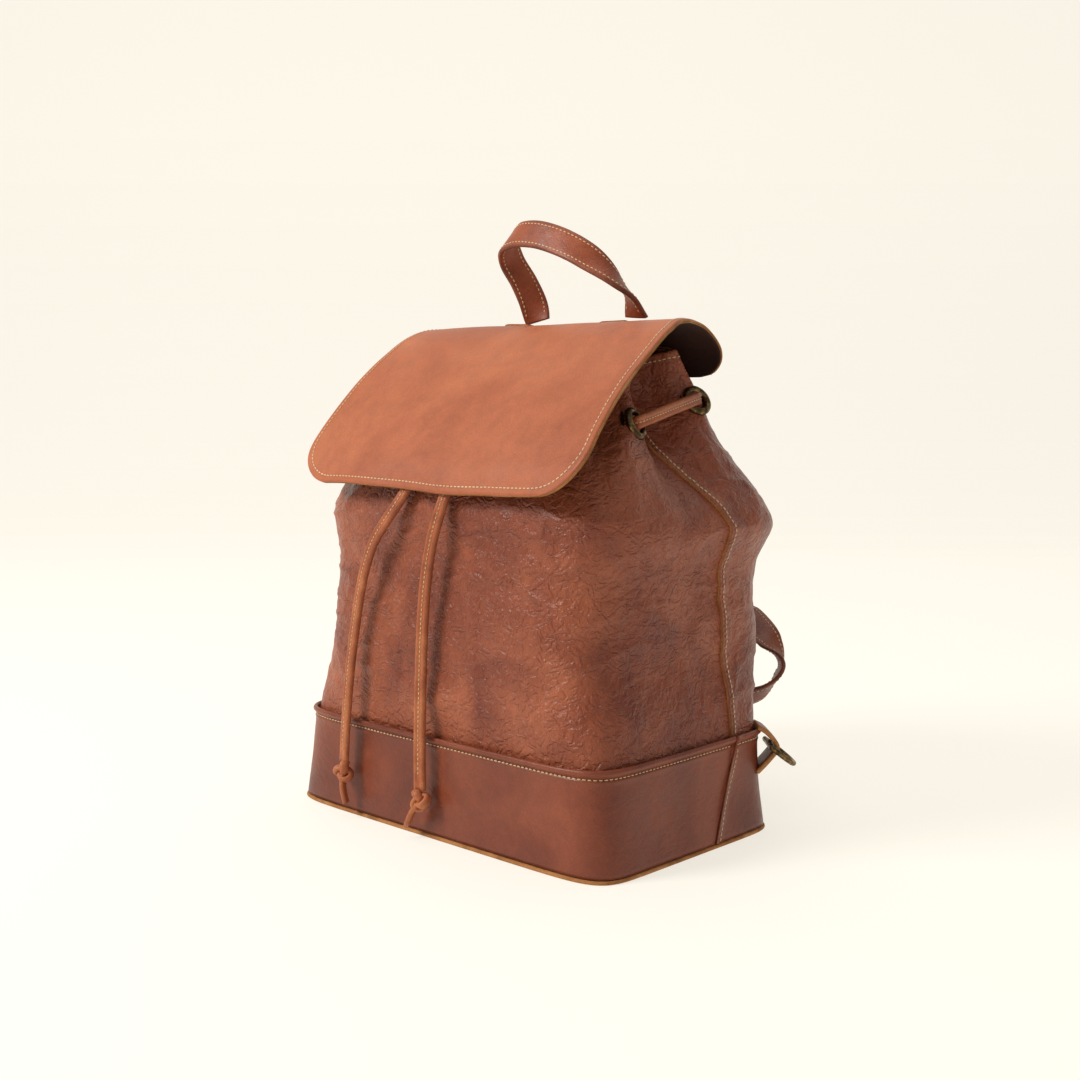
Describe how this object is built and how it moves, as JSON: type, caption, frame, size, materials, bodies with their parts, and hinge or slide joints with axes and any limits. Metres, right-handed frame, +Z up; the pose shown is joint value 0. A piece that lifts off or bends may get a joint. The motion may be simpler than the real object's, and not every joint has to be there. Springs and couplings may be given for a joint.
{
  "type": "backpack",
  "caption": "Leather drawstring backpack with a fold-over flap, gathered eyelet mouth, hanging lace ends, grab handle, shoulder straps and a ring at each rear lower corner.",
  "frame": {"origin": "centre of the base underside", "axes": "+Z up, the front faces -Y, +X is to the right of a viewer who faces the front"},
  "size_m": [0.3162, 0.2812, 0.4073],
  "materials": {
    "body_leather": "crinkled vegetable-tanned cowhide, waxed",
    "band_leather": "smooth waxed cowhide",
    "flap_leather": "smooth pull-up cowhide",
    "facing_leather": "flesh side, undyed to dark brown",
    "strap_leather": "bridle leather, edges dyed",
    "lace_leather": "folded and stitched strip",
    "lining_cloth": "cotton twill",
    "board": "stiffener board",
    "old_brass": "antique finish"
  },
  "bodies": {
    "bag": {"back_yoke": "strap_leather", "band_back": "band_leather", "band_front": "band_leather", "base_board": "board", "base_panel": "band_leather", "body_back": "body_leather", "body_front": "body_leather", "corner_tab_left": "strap_leather", "corner_tab_right": "strap_leather", "eyelet_1": "old_brass", "eyelet_2": "old_brass", "eyelet_3": "old_brass", "eyelet_4": "old_brass", "eyelet_5": "old_brass", "eyelet_6": "old_brass", "eyelet_washer_1": "old_brass", "eyelet_washer_2": "old_brass", "eyelet_washer_3": "old_brass", "eyelet_washer_4": "old_brass", "eyelet_washer_5": "old_brass", "eyelet_washer_6": "old_brass", "lace_end_left": "lace_leather", "lace_end_right": "lace_leather", "lace_knot_left": "lace_leather", "lace_knot_right": "lace_leather", "lace_loop": "lace_leather", "lining_back": "lining_cloth", "lining_floor": "lining_cloth", "lining_front": "lining_cloth", "mouth_facing_back": "facing_leather", "mouth_facing_front": "facing_leather", "strap_foot_left": "strap_leather", "strap_foot_right": "strap_leather"},
    "flap": {"flap_outer": "flap_leather", "flap_lining": "facing_leather", "handle_foot_left": "strap_leather", "handle_foot_right": "strap_leather"},
    "handle": {"handle": "strap_leather"},
    "strap_right": {"strap_right": "strap_leather"},
    "strap_left": {"strap_left": "strap_leather"},
    "ring_right": {"d_ring_right": "old_brass"},
    "ring_left": {"d_ring_left": "old_brass"}
  },
  "joints": [
    {"name": "flap_open", "type": "hinge", "parent": "bag", "child": "flap", "pos_m": [0, 0.0742, 0.297], "axis": [-1, 0, 0], "range_deg": [0, 110]},
    {"name": "handle_swing", "type": "hinge", "parent": "flap", "child": "handle", "pos_m": [0, 0.05, 0.3365], "axis": [-1, 0, 0], "range_deg": [-38, 20]},
    {"name": "strap_right_swing", "type": "hinge", "parent": "bag", "child": "strap_right", "pos_m": [0.054, 0.0925, 0.059], "axis": [-0.1312, 0.0243, 0.9911], "range_deg": [-10, 6]},
    {"name": "strap_left_swing", "type": "hinge", "parent": "bag", "child": "strap_left", "pos_m": [-0.054, 0.0925, 0.059], "axis": [-0.1312, -0.0243, -0.9911], "range_deg": [-10, 6]},
    {"name": "ring_right_turn", "type": "hinge", "parent": "bag", "child": "ring_right", "pos_m": [0.14017, 0.08117, 0.055], "axis": [0.7071, -0.7071, 0], "range_deg": [-45, 115]},
    {"name": "ring_left_turn", "type": "hinge", "parent": "bag", "child": "ring_left", "pos_m": [-0.14017, 0.08117, 0.055], "axis": [0.7071, 0.7071, 0], "range_deg": [-45, 115]}
  ]
}
